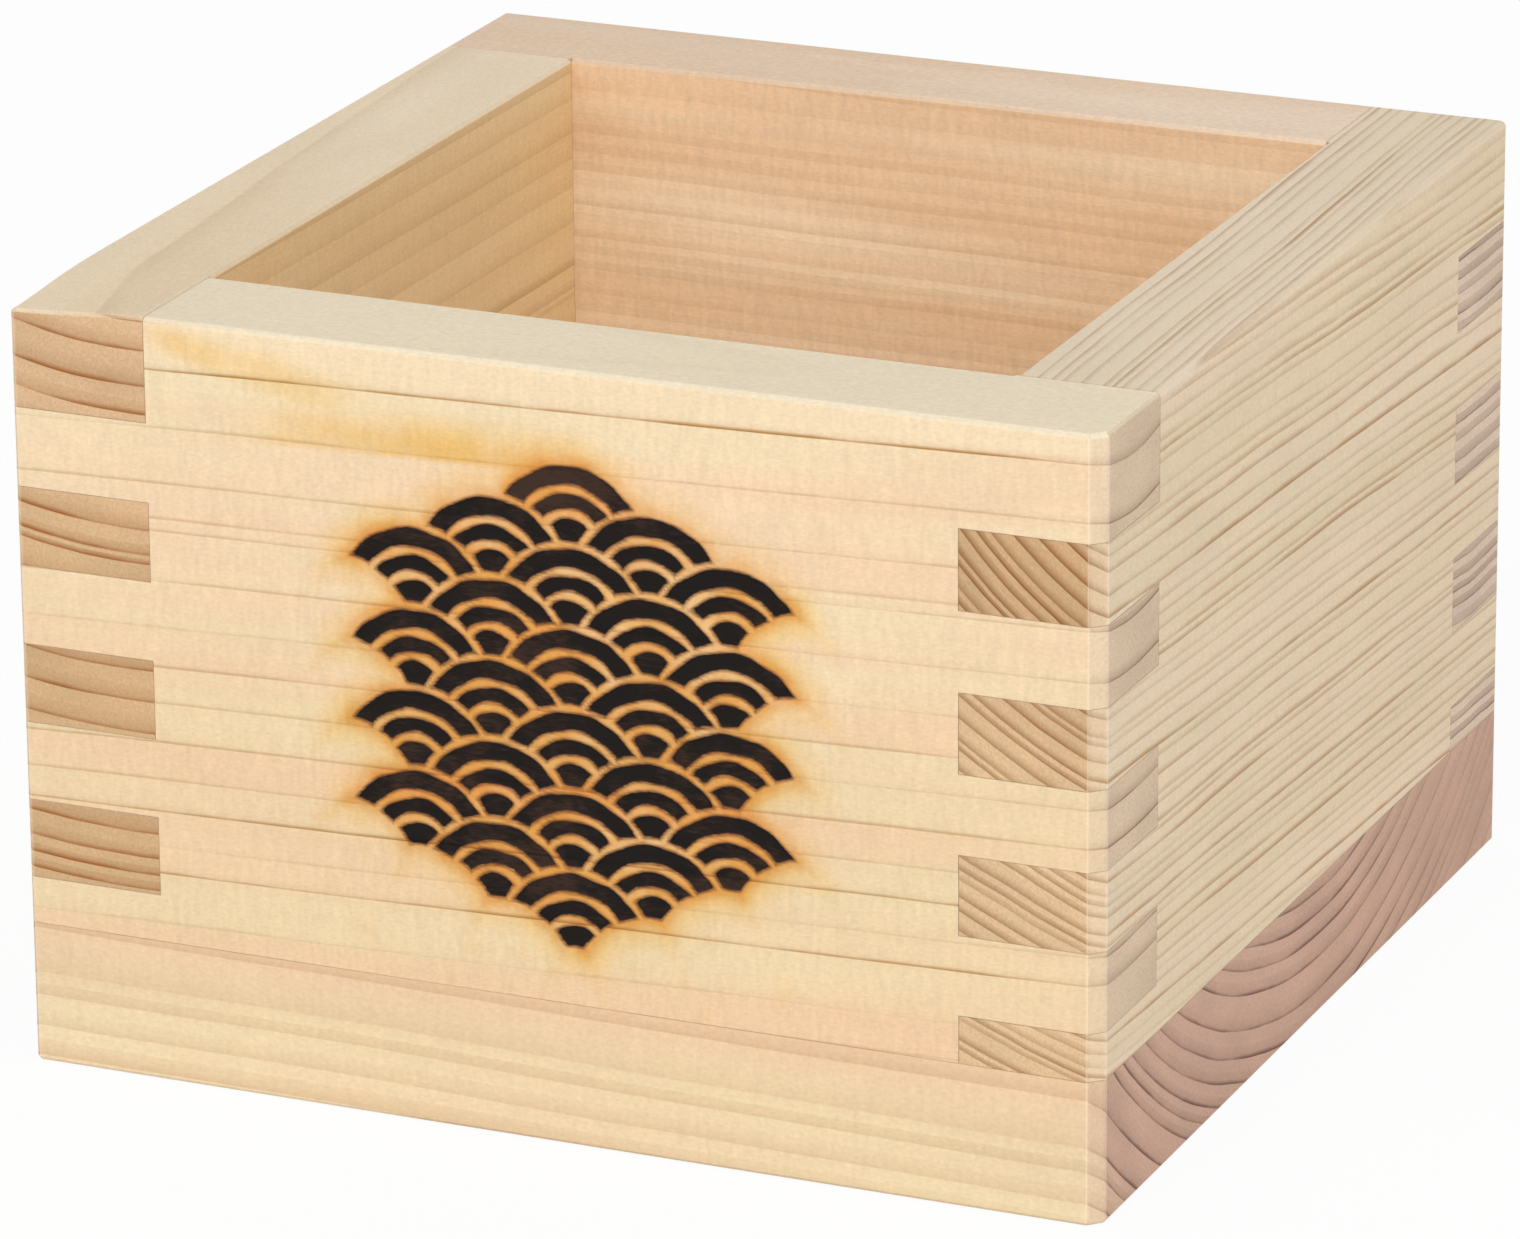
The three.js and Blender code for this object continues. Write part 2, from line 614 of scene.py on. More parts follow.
        # Rim outside, then the arrises along the joints above and below
        top = j.height - z
        rim = eased(top, side_gap, j.edge_cut, j.edge_softness)
        high_joint = eased(above, side_gap, j.arris, j.joint_softness)
        low_joint = eased(below, side_gap, j.arris, j.joint_softness)
        sideways = rim + high_joint + low_joint
        reach = reach - sideways * pull_u
        w = w + sideways * pull_w
        z = z - rim - high_joint + low_joint

        # Rim inside; a finger's end has only a joint there
        mouth = np.where(in_finger, j.arris, j.edge_cut)
        move = eased(top, from_inside, mouth, j.edge_softness / 2)
        w, z = w - move, z - move

        # The arris where a finger's end meets the next wall's face, and where that face starts
        seam = np.where(in_finger & (above > j.arris) & (below > j.arris), from_inside, np.inf)
        move = eased(from_end, seam, j.arris, j.joint_softness)
        reach, w = reach - move, w - move
        shoulder = np.where(self.beside_notch(points), j.notch - np.abs(u), np.inf)
        move = eased(shoulder, from_face, j.arris, j.joint_softness)
        reach, w = reach - move, w + move
        move = eased(shoulder, top, j.arris, j.joint_softness)
        reach, z = reach - move, z - move

        near_joint = np.minimum(np.minimum(above, below), np.minimum(seam, shoulder))
        closeness = np.clip(1 - near_joint / JOINT_REACH, 0, 1)
        corner_gap = np.where(in_finger, corner_gap, np.inf)
        rim_gap = top + np.minimum(outer, from_inside)
        # Pale eased edges: wear, and a painted highlight where light would catch the corner cut's borders and
        # the rim
        edge = np.maximum(worn(corner_gap, cut), EDGE_WEAR_AND_HIGHLIGHT * worn(rim_gap, j.edge_cut))
        moved = np.stack([sign * reach, w, z], axis=1)
        if self.mark:
            pressed = self.mark.pressed(self.mark.distance(points[:, 0], points[:, 2]))
            moved[:, 1] += np.where(from_face < TINY, pressed, 0)
        return moved, closeness, edge

    def beside_notch(self, points: np.ndarray) -> np.ndarray:
        """Which points lie on or next to the floor of a notch, between its two neighbouring fingers.

        Args:
            points: rows of u, w, z.

        Returns:
            One truth value per point.
        """
        j = self.joinery
        u, _, z = points.T
        open_here = (np.abs(u) < j.notch + TINY) & (np.abs(u) > j.notch - NOTCH_REACH)
        for sign in (1, -1):
            for low, high in j.finger_spans(sign):
                open_here &= ~((sign * u > 0) & (z > low - TINY) & (z < high + TINY))
        return open_here

    def sanded(self, points: np.ndarray) -> np.ndarray:
        """Lowers the rim a little at the front left corner, where it was sanded most.

        The drop falls off with the square of the distance from the corner and fades out down the wall.

        Args:
            points: rows of x, y, z in place.

        Returns:
            The rows with their heights changed.
        """
        j = self.joinery
        away = np.hypot(points[:, 0] + j.half, points[:, 1] + j.half)
        fade = np.clip((points[:, 2] - (j.height - j.top_finger)) / j.top_finger, 0, 1)
        lowered = points.copy()
        lowered[:, 2] -= self.sanded_depth * np.exp(-((away / self.sanded_reach) ** 2)) * fade * fade
        return lowered

    def build(self) -> bpy.types.Object:
        """Makes the wall in its place.

        Returns:
            The new object.
        """
        lines = self.grid()
        fold = None
        if self.mark:
            lines, fold = self.with_fine_square(lines)
        skin = block_skin(lines, self.filled_cells(lines), fold)
        plain = skin.points
        moved, joint, edge = self.shaped(plain)
        skin.points = self.sanded(turned(moved, self.side.value))
        # edge holds the pale wear and painted highlight of the eased edges
        marks = {"joint": joint, "edge": edge}
        if self.mark:
            marks["burn"] = self.mark.distance(plain[:, 0], plain[:, 2])
        return lay_mesh(self.node + "_wood", skin, marks)


@dataclass
class BottomBoard:
    """The square board that the walls stand on."""

    joinery: Joinery
    pitch: float = 3.0
    node: str = "bottom_board"

    def build(self) -> bpy.types.Object:
        """Makes the board: a square block whose upright corners, lower edges and top arris are eased.

        Returns:
            The new object.
        """
        j = self.joinery
        at_side = (*AT_JOINT, *AT_EDGE, *AT_CORNER)
        level = lines_between(-j.half, j.half, self.pitch, {-j.half: at_side, j.half: at_side})
        lines = (level, level, lines_between(0, j.bottom, self.pitch, {0: AT_EDGE, j.bottom: AT_JOINT}))
        skin = block_skin(lines, np.ones([len(line) - 1 for line in lines], bool))
        x, y, z = skin.points.T
        gap_x, gap_y = j.half - np.abs(x), j.half - np.abs(y)
        cut, softness = j.corner((x > 0) & (y < 0))
        move, corner_gap = corner_eased(gap_x, gap_y, cut, softness)
        gap_x, gap_y = gap_x + move, gap_y + move
        side_gap, pull_x, pull_y = nearest_side(gap_x, gap_y, cut)
        under = eased(z, side_gap, j.edge_cut, j.edge_softness)
        over = eased(j.bottom - z, side_gap, j.arris, j.joint_softness)
        # Pale eased edges: wear, and a painted highlight on the corner cuts and along the foot
        edge = np.maximum(worn(corner_gap, cut), EDGE_WEAR_AND_HIGHLIGHT * worn(z + side_gap, j.edge_cut))
        gap_x = gap_x + (under + over) * pull_x
        gap_y = gap_y + (under + over) * pull_y
        places = [np.sign(x) * (j.half - gap_x), np.sign(y) * (j.half - gap_y), z + under - over]
        skin.points = np.stack(places, axis=1)
        closeness = np.clip(1 - (j.bottom - z) / JOINT_REACH, 0, 1)
        return lay_mesh(self.node + "_wood", skin, {"joint": closeness, "edge": edge})


class Signal:
    """What one socket puts out. Arithmetic with it adds nodes, so that a formula reads as on paper."""

    def __init__(self, wiring: "Wiring", socket: bpy.types.NodeSocket) -> None:
        """Keeps the socket and the wiring that it belongs to."""
        self.wiring = wiring
        self.socket = socket

    def __add__(self, other: "Value") -> "Signal":
        """The sum."""
        return self.wiring.step("ADD", self, other)

    def __sub__(self, other: "Value") -> "Signal":
        """What is left of this one."""
        return self.wiring.step("SUBTRACT", self, other)

    def __rsub__(self, other: "Value") -> "Signal":
        """What is left of the other."""
        return self.wiring.step("SUBTRACT", other, self)

    def __mul__(self, other: "Value") -> "Signal":
        """The product."""
        return self.wiring.step("MULTIPLY", self, other)

    def __truediv__(self, other: "Value") -> "Signal":
        """The quotient."""
        return self.wiring.step("DIVIDE", self, other)

    __radd__ = __add__
    __rmul__ = __mul__


Value = Signal | float | tuple
Inputs = dict[int | str, Value]


class Wiring:
    """Adds nodes to one tree and joins them."""

    def __init__(self, tree: bpy.types.NodeTree) -> None:
        """Keeps the tree that the nodes go into."""
        self.tree = tree

    def add(self, kind: str, inputs: Inputs | None = None, **settings: object) -> bpy.types.Node:
        """Adds one node.

        Args:
            kind: the node's type.
            inputs: what feeds each input, a signal or a plain value.
            settings: properties of the node.

        Returns:
            The node.
        """
        node = self.tree.nodes.new(kind)
        for name, setting in settings.items():
            setattr(node, name, setting)
        for key, value in (inputs or {}).items():
            if isinstance(value, Signal):
                self.tree.links.new(value.socket, node.inputs[key])
            else:
                node.inputs[key].default_value = value
        return node

    def outputs(self, kind: str, inputs: Inputs | None = None, **settings: object) -> dict[str, Signal]:
        """Adds one node and gives all its outputs by name."""
        return {socket.name: Signal(self, socket) for socket in self.add(kind, inputs, **settings).outputs}

    def value(
        self, kind: str, inputs: Inputs | None = None, output: int | str = 0, **settings: object
    ) -> Signal:
        """Adds one node and gives one of its outputs."""
        return Signal(self, self.add(kind, inputs, **settings).outputs[output])

    def step(self, operation: str, first: Value, second: Value = 0.0) -> Signal:
        """One step of arithmetic, on three numbers at once when either value is a vector or a colour.

        Args:
            operation: its name.
            first: the value that it starts from.
            second: the other value, for an operation on two.

        Returns:
            The result.
        """
        def is_triple(value: Value) -> bool:
            """Whether it is a vector or a colour."""
            return isinstance(value, tuple) or (isinstance(value, Signal) and value.socket.type != "VALUE")

        def as_triple(value: Value) -> Value:
            """Keeps a signal as it is and makes three numbers of a plain value.

            Args:
                value: a signal, a number, a vector or a colour.

            Returns:
                What a vector's input takes.
            """
            if isinstance(value, Signal):
                return value
            return value[:3] if isinstance(value, tuple) else (value, value, value)

        if is_triple(first) or is_triple(second):
            inputs = {0: as_triple(first), 1: as_triple(second)}
            return self.value("ShaderNodeVectorMath", inputs, operation=operation)
        return self.value("ShaderNodeMath", {0: first, 1: second}, operation=operation)

    def clamped(self, value: Signal) -> Signal:
        """A number held between 0 and 1."""
        return self.value("ShaderNodeClamp", {0: value})

    def parts(self, vector: Signal) -> tuple[Signal, ...]:
        """The three numbers of a vector."""
        return tuple(self.outputs("ShaderNodeSeparateXYZ", {0: vector}).values())

    def joined(self, x: Value, y: Value, z: Value) -> Signal:
        """A vector of three numbers."""
        return self.value("ShaderNodeCombineXYZ", {0: x, 1: y, 2: z})

    def mix(self, share: Value, first: Value, second: Value) -> Signal:
        """Goes from the first colour to the second."""
        return self.value("ShaderNodeMix", {0: share, 6: first, 7: second}, 2, data_type="RGBA")

    def spread(
        self,
        value: Value,
        low: float,
        high: float,
        bottom: float = 0.0,
        top: float = 1.0,
        smooth: bool = True,
    ) -> Signal:
        """Maps low to high onto bottom to top, level outside.

        Args:
            value: what is read.
            low: where the change starts.
            high: where it ends.
            bottom: the result up to low.
            top: the result from high on.
            smooth: True for a soft start and end, False for an even change.

        Returns:
            The result.
        """
        inputs = {"Value": value, "From Min": low, "From Max": high, "To Min": bottom, "To Max": top}
        kind = "SMOOTHSTEP" if smooth else "LINEAR"
        return self.value("ShaderNodeMapRange", inputs, interpolation_type=kind)

    def fall(self, value: Value, low: float, high: float, top: float = 1.0, bottom: float = 0.0) -> Signal:
        """Falls from top to bottom between low and high."""
        return self.spread(value, low, high, top, bottom)

    def window(self, value: Value, rise: Pair, fall: Pair) -> Signal:
        """0 at both sides and 1 between two spans: it rises over the first and falls over the second."""
        return self.spread(value, *rise) * self.fall(value, *fall)

    def noise(
        self,
        place: Value,
        detail: float,
        roughness: float = 0.5,
        twist: float = 0.0,
        colour: bool = False,
    ) -> Signal:
        """Smooth noise whose cells are one unit of the given place, twisted out of shape a little."""
        inputs = {"Vector": place, "Scale": 1.0, "Detail": detail, "Roughness": roughness}
        return self.value("ShaderNodeTexNoise", {**inputs, "Distortion": twist}, 1 if colour else 0)

    def chance(self, number: Value) -> Signal:
        """A random number from 0 to 1 for each whole number."""
        return self.value("ShaderNodeTexWhiteNoise", {"W": number}, "Value", noise_dimensions="1D")

    def attribute(self, name: str) -> Signal:
        """A number kept on the mesh."""
        return self.value("ShaderNodeAttribute", output="Fac", attribute_name=name)

    def seen_directly(self) -> Signal:
        """Tells what is seen from what only lights.

        Returns:
            1 for what the camera sees, also in a mirror or through glass, 0 for all else.
        """
        rays = self.outputs("ShaderNodeLightPath")
        mirrored = self.step("MAXIMUM", rays["Is Glossy Ray"], rays["Is Transmission Ray"])
        return self.step("MAXIMUM", rays["Is Camera Ray"], mirrored)


class Kind(Enum):
    """What a group's socket carries."""

    NUMBER = "NodeSocketFloat"
    VECTOR = "NodeSocketVector"
    COLOUR = "NodeSocketColor"


class Pattern:
    """A shader node group with named inputs and outputs, made once and placed in each material."""

    name = ""
    takes: dict[Kind, tuple[str, ...]] = {}
    gives: dict[Kind, tuple[str, ...]] = {}

    def __init__(self) -> None:
        """Makes the group's sockets and its inside."""
        self.tree = bpy.data.node_groups.new(self.name, "ShaderNodeTree")
        for in_out, sockets in (("INPUT", self.takes), ("OUTPUT", self.gives)):
            for kind, names in sockets.items():
                for name in names:
                    self.tree.interface.new_socket(name=name, in_out=in_out, socket_type=kind.value)
        wiring = Wiring(self.tree)
        wiring.add("NodeGroupOutput", self.fill(wiring, wiring.outputs("NodeGroupInput")))

    def fill(self, wiring: Wiring, given: dict[str, Signal]) -> dict[str, Value]:
        """Makes the nodes inside.

        Args:
            wiring: puts nodes into the group.
            given: the group's inputs by name.

        Returns:
            What feeds each output.
        """
        raise NotImplementedError

    def place(self, wiring: Wiring, inputs: dict[str, Value]) -> dict[str, Signal]:
        """Puts the group into a material.

        Args:
            wiring: the material's nodes.
            inputs: what feeds each input.

        Returns:
            The group's outputs by name.
        """
        return wiring.outputs("ShaderNodeGroup", inputs, node_tree=self.tree)


class GrainFrame(Pattern):
    """Where a point lay in the tree: along the trunk, out from its heart, and round it.

    A drift is the pace of its noise along, across and up, the noise's detail, and how far it moves a point
    where the wander is 1.
    """

    name = "grain frame"
    takes = {Kind.VECTOR: ("Place", "Lean"), Kind.NUMBER: ("Wander",)}
    gives = {Kind.NUMBER: ("Along", "Radius", "Round")}
    drifts = (((0.022, 0.07, 0.07), 1.0, 6.0), ((0.11, 0.3, 0.3), 2.0, 1.1))

    def fill(self, wiring: Wiring, given: dict[str, Signal]) -> dict[str, Value]:
        """The heart leans along the board, and slow and quick noise make the rings wander.

        Args:
            wiring: puts nodes into the group.
            given: the group's inputs by name.

        Returns:
            What feeds each output.
        """
        place = given["Place"]
        along, _, _ = wiring.parts(place)
        moved = place - given["Lean"] * along
        for pace, detail, reach in self.drifts:
            drift = wiring.noise(place * pace, detail, colour=True) - 0.5
            moved = moved + drift * (given["Wander"] * reach)
        _, across, up = wiring.parts(moved)
        radius = wiring.step("SQRT", across * across + up * up)
        angle = wiring.step("ARCTAN2", across, up * -1.0)
        return {"Along": along, "Radius": radius, "Round": angle * radius}


class GrowthRings(Pattern):
    """The dark line that ends each year's growth, and the darker wood that leads up to it."""

    name = "growth rings"
    takes = {Kind.NUMBER: ("Count", "Count Ahead", "Along", "Round", "Line Width", "Late Width", "Seed")}
    gives = {Kind.NUMBER: ("Line", "Late", "Ring Chance", "Line Chance")}
    step_ahead = 0.25
    least_rate = 0.08
    line_end = 0.07
    swell_pace = (0.07, 0.09, 7.3)
    swell_to_width = (0.3, 0.7, 0.7, 1.4)
    swell_to_strength = (0.3, 0.62, 0.5, 1.05)
    ring_seed = 50.0

    def fill(self, wiring: Wiring, given: dict[str, Signal]) -> dict[str, Value]:
        """The count is whole at each line. Its rate gives the distance to the line in millimetres.

        Args:
            wiring: puts nodes into the group.
            given: the group's inputs by name.

        Returns:
            What feeds each output.
        """
        count = given["Count"]
        rate = wiring.step("MAXIMUM", (given["Count Ahead"] - count) / self.step_ahead, self.least_rate)
        nearest = wiring.step("ROUND", count)
        past = (count - nearest) / rate
        before = past * -1.0
        spot = wiring.joined(given["Along"], given["Round"], nearest) * self.swell_pace
        swell = wiring.noise(spot, 3.0, 0.6)
        width = given["Line Width"] * wiring.spread(swell, *self.swell_to_width)
        rising = wiring.clamped(1.0 - before / width)
        falling = wiring.clamped(1.0 - past / self.line_end)
        nearing = wiring.clamped(1.0 - before / given["Late Width"])
        whole = wiring.step("FLOOR", count)
        return {
            "Line": rising * falling * wiring.spread(swell, *self.swell_to_strength),
            "Late": nearing * nearing * falling,
            "Ring Chance": wiring.chance(whole + (given["Seed"] + self.ring_seed)),
            "Line Chance": wiring.chance(nearest + given["Seed"]),
        }


@dataclass(frozen=True)
class Stretch:
    """Noise drawn out in the wood: its cells per millimetre along, out from and round the heart."""

    pace: Triple
    detail: float
    shift: float
    twist: float = 0.0


class Fibres(Pattern):
    """Fine structure between the rings: streaks along the grain, short rays across it, pores at the ends."""

    name = "fibres"
    takes = {Kind.NUMBER: ("Along", "Radius", "Round", "Shift")}
    gives = {Kind.NUMBER: ("Broad", "Streak", "Fleck", "Speckle", "Cloud")}
    stretches = {
        "Broad": Stretch((0.012, 0.2, 0.09), 2.0, 0.0),
        "Streak": Stretch((0.035, 2.6, 1.3), 3.0, 11.0),
        "Fleck": Stretch((1.9, 0.45, 1.9), 2.0, 23.0, 0.4),
        "Speckle": Stretch((2.2, 5.0, 5.0), 2.0, 37.0),
        "Cloud": Stretch((0.06, 0.16, 0.08), 3.0, 51.0),
    }
    off_square = (0.7, 0.5, 0.9)
    roughness = 0.55

    def fill(self, wiring: Wiring, given: dict[str, Signal]) -> dict[str, Value]:
        """Each is smooth noise, stretched in the wood and turned so that its own squares don't show.

        Args:
            wiring: puts nodes into the group.
            given: the group's inputs by name.

        Returns:
            What feeds each output.
        """
        point = wiring.joined(given["Along"], given["Radius"], given["Round"])
        made = {}
        for name, stretch in self.stretches.items():
            place = point * stretch.pace + wiring.joined(given["Shift"] + stretch.shift, 0.0, 0.0)
            place = wiring.value("ShaderNodeMapping", {"Vector": place, "Rotation": self.off_square})
            made[name] = wiring.noise(place, stretch.detail, self.roughness, twist=stretch.twist)
        return made


class BoardColour(Pattern):
    """Puts the board's colours together from its rings and fibres, on long faces and on cut ends, with
    painted light on rim and inside, and pale wear with a painted highlight along eased edges.

    A variation names a fibre pattern and how much it changes the brightness.
    """

    name = "board colour"
    takes = {
        Kind.COLOUR: ("Face", "Tint", "Face Line", "Side Tone", "Zone Tone", "End", "End Line"),
        Kind.NUMBER: (
            *("Broad", "Streak", "Fleck", "Speckle", "Cloud", "Line", "Late", "Ring Chance"),
            *("Zone", "Strength", "End Strength", "End Late", "End Grain", "Joint", "Edge"),
            *("Fleck Amount", "Late Amount", "Soft Lines"),
        ),
    }
    gives = {Kind.COLOUR: ("Colour",), Kind.NUMBER: ("Darkness",)}
    face_variations = (("Streak", 0.07), ("Speckle", 0.26), ("Cloud", 0.12))
    end_variations = (("Speckle", 0.5), ("Broad", 0.45))
    tint_chance = 0.28
    tint_broad = 1.2
    tint_range = (0.45, 1.0)
    cloud_to_joint = (0.35, 0.62, 0.14, 0.42)
    joint_tone = tone(130, 95, 66)
    # The pale colour of eased edges: wear, together with a painted highlight
    wear_and_highlight_tone = tone(252, 236, 212)
    wear_and_highlight_share = 0.34

    def fill(self, wiring: Wiring, given: dict[str, Signal]) -> dict[str, Value]:
        """Lines and late wood darken, chance tints each ring, fibres vary the brightness.

        Args:
            wiring: puts nodes into the group.
            given: the group's inputs by name.

        Returns:
            What feeds each output.
        """
        def varied(colour: Signal, variations: tuple[tuple[str, Value], ...]) -> Signal:
            """Makes a colour brighter and darker with each pattern.

            Args:
                colour: the colour before.
                variations: each pattern's name and how much it changes the brightness.

            Returns:
                The varied colour.
            """
            for pattern, amount in variations:
                colour = colour * (1.0 + (given[pattern] - 0.5) * amount)
            return colour

        tinted = given["Ring Chance"] * self.tint_chance + given["Broad"] * self.tint_broad
        face = wiring.mix(wiring.spread(tinted, *self.tint_range), given["Face"], given["Tint"])
        face = wiring.mix(given["Zone"], face, given["Zone Tone"])
        face = varied(face, (*self.face_variations, ("Fleck", given["Fleck Amount"])))
        line, late, soft = given["Line"], given["Late"], given["Soft Lines"]
        thin = 1.0 - soft
        gentle = late * (thin * late + soft) * given["Late Amount"]
        face_line = wiring.clamped(wiring.step("MAXIMUM", line * thin, gentle) * given["Strength"])
        # The wood's far tone, with painted light on rim and inside
        face = wiring.mix(face_line, face, given["Face Line"]) * given["Side Tone"]
        end_line = wiring.step("MAXIMUM", line, late * given["End Late"])
        end_line = wiring.clamped(end_line * given["End Strength"])
        end = wiring.mix(end_line, varied(given["End"], self.end_variations), given["End Line"])
        end_grain = given["End Grain"]
        joint = given["Joint"] * wiring.spread(given["Cloud"], *self.cloud_to_joint)
        colour = wiring.mix(joint, wiring.mix(end_grain, face, end), self.joint_tone)
        # Pale eased edges: wear and a painted highlight
        colour = wiring.mix(given["Edge"] * self.wear_and_highlight_share, colour, self.wear_and_highlight_tone)
        return {"Colour": colour, "Darkness": face_line + (end_line - face_line) * end_grain}


@dataclass(frozen=True)
class Timber:
    """One board's wood: where the heart of its tree lay, its rings and its colours.

    Strengths say how clearly the lines show on the outside, the rim, the inside and the cut ends, and a
    bold ring has its own. A zone is a run of radii with a colour of its own. Over the change, a run of radii
    too, the cut ends go from a near tone to a far tone, the faces from none to their own far tone, and the
    lines at the ends get fainter. Soft lines fade in over the late wood on upright faces, uneven says how
    much the lines differ, and the end fade is where the lines at the ends fade across the board. The rim and
    inside tones are painted light: tints of up-facing and inward-facing surfaces that stand in for how the
    light falls there.
    """

    turns: int
    start: float
    heart: Pair
    lean: Pair
    rings: tuple[float, ...]
    face: Colour
    tint: Colour
    face_line: Colour
    end: Colour
    end_line: Colour
    face_strength: float
    rim_strength: float
    end_strength: float
    line_width: float
    seed: float
    # Painted light: tints of the up-facing rim and the inward-facing inside, in place of how light falls
    # there
    rim_painted_light: Colour = PLAIN
    inside_painted_light: Colour = PLAIN
    zone: Pair = (0.0, 0.0)
    zone_tone: Colour = PLAIN
    zone_fade: float = 0.7
    change: Pair = (0.0, 1.0)
    near_tone: Colour = PLAIN
    far_tone: Colour = PLAIN
    face_far: Colour = PLAIN
    far_strength: float = 1.0
    wander: float = 0.1
    bold_rings: tuple[Pair, ...] = ()
    inside_strength: float = 1.0
    end_late: float = 0.5
    end_fade: Pair | None = None
    late_width: float = 1.2
    late_amount: float = 0.3
    fleck: float = 0.13
    soft_lines: float = 0.0
    uneven: float = 0.9


@dataclass(frozen=True)
class Scorch:
    """What the iron left: char in the bands, brown at their edge, a golden surround and a smear above.

    Places and lengths are millimetres on the wall. A halo is how far it reaches, its share and its colour.
    The smear starts at the rim's left and drops along the grain; a second one lies over one ring. Each is
    held between a span where it fades in and a span where it fades out.
    """

    char: Colour = tone(23, 18, 16)
    worn: Colour = tone(60, 42, 33)
    brown: Colour = tone(112, 62, 24)
    halos: tuple[tuple[float, float, Colour], ...] = (
        (3.5, 0.95, tone(249, 226, 164)),
        (1.4, 0.85, tone(237, 190, 112)),
    )
    smear: Colour = tone(249, 226, 166)
    patch_pace: Triple = (0.16, 0.16, 0.22)
    fine_pace: Triple = (1.2, 1.2, 5.0)
    smear_start: Pair = (-30.0, 57.0)
    smear_drop: float = 0.2
    smear_run_to_width: Spread = (0.0, 14.0, 1.6, 2.8)
    smear_fall: Triple = (0.1, 1.0, 0.75)
    smear_along: tuple[Pair, Pair] = ((-33.0, -28.0), (-22.0, -10.0))
    ring_drop: float = -0.027
    ring_up: tuple[Pair, Pair] = ((50.4, 51.0), (51.8, 55.0))
    ring_along: tuple[Pair, Pair] = ((-27.0, -14.0), (-7.0, 6.0))
    outward: Pair = (-0.9, -0.5)
    patch_to_smear: Spread = (0.3, 0.6, 0.55, 1.0)
    patch_to_halo: Spread = (0.3, 0.62, 0.5, 1.0)
    ragged: float = 0.14
    fringe: Pair = (0.02, 0.3)
    fine_to_fringe: Spread = (0.2, 0.8, 0.65, 1.0)
    char_edge: Pair = (-0.06, 0.07)
    up_to_rubbed: Spread = (43.0, 51.0, 0.0, 0.2)
    rubbed_bare: Pair = (0.72, 1.05)
    grain_in_char: float = 0.7

    def smeared(self, wiring: Wiring, along: Signal, up: Signal) -> Signal:
        """How much of the smear lies on each place: the stronger of its two parts.

        Args:
            wiring: the material's nodes.
            along: place along the wall.
            up: height.

        Returns:
            The smear's share.
        """
        start, height = self.smear_start
        run = along - start
        off_middle = wiring.step("ABSOLUTE", run * self.smear_drop + (up - height))
        half_width = wiring.spread(run, *self.smear_run_to_width, smooth=False)
        at_rim = wiring.fall(off_middle / half_width, *self.smear_fall)
        at_rim = at_rim * wiring.window(along, *self.smear_along)
        level = along * self.ring_drop + up
        over_ring = wiring.window(level, *self.ring_up) * wiring.window(along, *self.ring_along)
        return wiring.step("MAXIMUM", at_rim, over_ring)

    def burn(
        self, wiring: Wiring, wood: Signal, darkness: Signal, place: Signal, inward: Signal
    ) -> tuple[Signal, Signal]:
        """Burns the mark into the wood's colour, from the faintest colour to the char.

        Args:
            wiring: the material's nodes.
            wood: the plain wood's colour.
            darkness: how dark the grain is, which shows through the char.
            place: position on the board in metres.
            inward: how far the surface looks inwards; the burn is on the side that looks outwards.

        Returns:
            The colour with the mark, and how charred the wood is.
        """
        outer = wiring.fall(inward, *self.outward)
        at = place * (1 / MM)
        along, _, up = wiring.parts(at)
        patchy = wiring.noise(at * self.patch_pace, 3.0, 0.6)
        grainy = wiring.noise(at * self.fine_pace, 3.0, 0.6)
        smear = self.smeared(wiring, along, up) * wiring.spread(patchy, *self.patch_to_smear) * outer
        result = wiring.mix(smear, wood, wood * self.smear)
        away = wiring.attribute("burn") + (0.5 - grainy) * self.ragged
        uneven = wiring.spread(patchy, *self.patch_to_halo)
        for reach, amount, colour in self.halos:
            halo = wiring.fall(away, 0.0, reach) * uneven * (outer * amount)
            result = wiring.mix(halo, result, result * colour)
        fringe = wiring.fall(away, *self.fringe) * wiring.spread(grainy, *self.fine_to_fringe)
        result = wiring.mix(fringe * outer, result, self.brown)
        rubbed = grainy * 0.5 + patchy + wiring.spread(up, *self.up_to_rubbed)
        burnt_wood = wiring.mix(wiring.spread(rubbed, *self.rubbed_bare), self.char, self.worn)
        burnt_wood = burnt_wood * (1.0 - darkness * self.grain_in_char)
        char = wiring.fall(away, *self.char_edge) * outer
        return wiring.mix(char, result, burnt_wood), char


